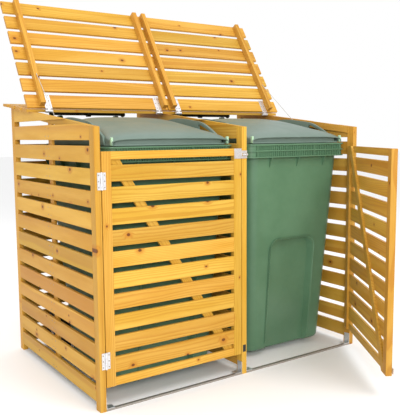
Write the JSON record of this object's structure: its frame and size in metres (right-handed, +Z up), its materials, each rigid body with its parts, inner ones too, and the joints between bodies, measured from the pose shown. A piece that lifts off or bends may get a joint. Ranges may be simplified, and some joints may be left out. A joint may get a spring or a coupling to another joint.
{
  "type": "litter bin",
  "caption": "Slatted wooden store with hinged doors and lifting roof lids, holding two wheeled green litter bins with domed lids.",
  "frame": {"origin": "on the ground, in the middle of the front middle post's foot", "axes": "+Z up, +X to the right seen from the front, +Y from the front to the back"},
  "size_m": [1.392, 1.4636, 1.6348],
  "materials": {
    "wood": "honey stained softwood, satin",
    "bin_body": "moulded polyethylene, soft sheen",
    "bin_lid": "moulded polyethylene, soft sheen",
    "zinc": "zinc plated",
    "threshold": "dull weathered steel",
    "magnet": "matt grey",
    "handle": "satin black",
    "cord": "thin braided cord",
    "tyre": "matt",
    "hub": "matt black"
  },
  "bodies": {
    "store": {"post_front_left": "wood", "post_front_middle": "wood", "post_front_right": "wood", "post_rear_left": "wood", "post_rear_middle": "wood", "post_rear_right": "wood", "wall_slats_left": "wood", "wall_slats_middle": "wood", "wall_slats_right": "wood", "top_rail_left": "wood", "top_rail_middle": "wood", "top_rail_right": "wood", "wall_battens": "wood", "back_slats": "wood", "rear_roof_boards": "wood", "door_stops": "wood", "rear_roof_hinge_leaves": "zinc", "hinge_pins": "zinc", "foot_brackets": "zinc", "post_hinge_leaves": "zinc", "latch_stem": "zinc", "bin_hinge_pins": "zinc", "wheel_axles": "zinc", "threshold_strips": "threshold", "catch_magnet": "magnet", "bin_handle_bars": "handle", "bin_tub_left": "bin_body", "bin_tub_right": "bin_body"},
    "door_left": {"door_hinge_stile_left": "wood", "door_free_stile_left": "wood", "door_slats_left": "wood", "door_brace_left": "wood", "door_hinge_leaves_left": "zinc", "hasp_plate": "zinc"},
    "door_right": {"door_hinge_stile_right": "wood", "door_free_stile_right": "wood", "door_slats_right": "wood", "door_brace_right": "wood", "door_hinge_leaves_right": "zinc", "catch_striker": "zinc"},
    "roof_lid_left": {"roof_lid_slats_left": "wood", "roof_lid_battens_left": "wood", "roof_lid_hinge_leaves_left": "zinc", "lid_stay_left": "cord"},
    "roof_lid_right": {"roof_lid_slats_right": "wood", "roof_lid_battens_right": "wood", "roof_lid_hinge_leaves_right": "zinc", "lid_stay_right": "cord"},
    "bin_lid_left": {"bin_lid_left": "bin_lid"},
    "bin_lid_right": {"bin_lid_right": "bin_lid"},
    "latch_turn": {"latch_turn": "zinc"},
    "wheel_left_inner": {"tyre_left_inner": "tyre", "wheel_hub_left_inner": "hub"},
    "wheel_left_outer": {"tyre_left_outer": "tyre", "wheel_hub_left_outer": "hub"},
    "wheel_right_inner": {"tyre_right_inner": "tyre", "wheel_hub_right_inner": "hub"},
    "wheel_right_outer": {"tyre_right_outer": "tyre", "wheel_hub_right_outer": "hub"}
  },
  "joints": [
    {"name": "door_left_swing", "type": "hinge", "parent": "store", "child": "door_left", "pos_m": [-0.6445, -0.023, 0.5225], "axis": [0, 0, -1], "range_deg": [0, 110]},
    {"name": "door_right_swing", "type": "hinge", "parent": "store", "child": "door_right", "pos_m": [0.6445, -0.023, 0.5225], "axis": [0, 0, 1], "range_deg": [-57, 53]},
    {"name": "roof_lid_left_lift", "type": "hinge", "parent": "store", "child": "roof_lid_left", "pos_m": [-0.329, 0.5663, 1.11952], "axis": [-1, 0, 0], "range_deg": [-128.9, 0], "deforming": ["lid_stay_left"]},
    {"name": "roof_lid_right_lift", "type": "hinge", "parent": "store", "child": "roof_lid_right", "pos_m": [0.329, 0.5663, 1.11952], "axis": [-1, 0, 0], "range_deg": [-128.9, 0], "deforming": ["lid_stay_right"]},
    {"name": "bin_lid_left_lift", "type": "hinge", "parent": "store", "child": "bin_lid_left", "pos_m": [-0.313, 0.735, 1], "axis": [-1, 0, 0], "range_deg": [0, 10]},
    {"name": "bin_lid_right_lift", "type": "hinge", "parent": "store", "child": "bin_lid_right", "pos_m": [0.345, 0.735, 1], "axis": [-1, 0, 0], "range_deg": [0, 10]},
    {"name": "wheel_left_inner_spin", "type": "hinge", "parent": "store", "child": "wheel_left_inner", "pos_m": [-0.087, 0.705, 0.1], "axis": [1, 0, 0], "continuous": true},
    {"name": "wheel_left_outer_spin", "type": "hinge", "parent": "store", "child": "wheel_left_outer", "pos_m": [-0.539, 0.705, 0.1], "axis": [1, 0, 0], "continuous": true},
    {"name": "wheel_right_inner_spin", "type": "hinge", "parent": "store", "child": "wheel_right_inner", "pos_m": [0.119, 0.705, 0.1], "axis": [1, 0, 0], "continuous": true},
    {"name": "wheel_right_outer_spin", "type": "hinge", "parent": "store", "child": "wheel_right_outer", "pos_m": [0.571, 0.705, 0.1], "axis": [1, 0, 0], "continuous": true},
    {"name": "latch_turn_spin", "type": "hinge", "parent": "store", "child": "latch_turn", "pos_m": [0, -0.026, 0.932], "axis": [0, 1, 0], "range_deg": [0, 90]}
  ]
}
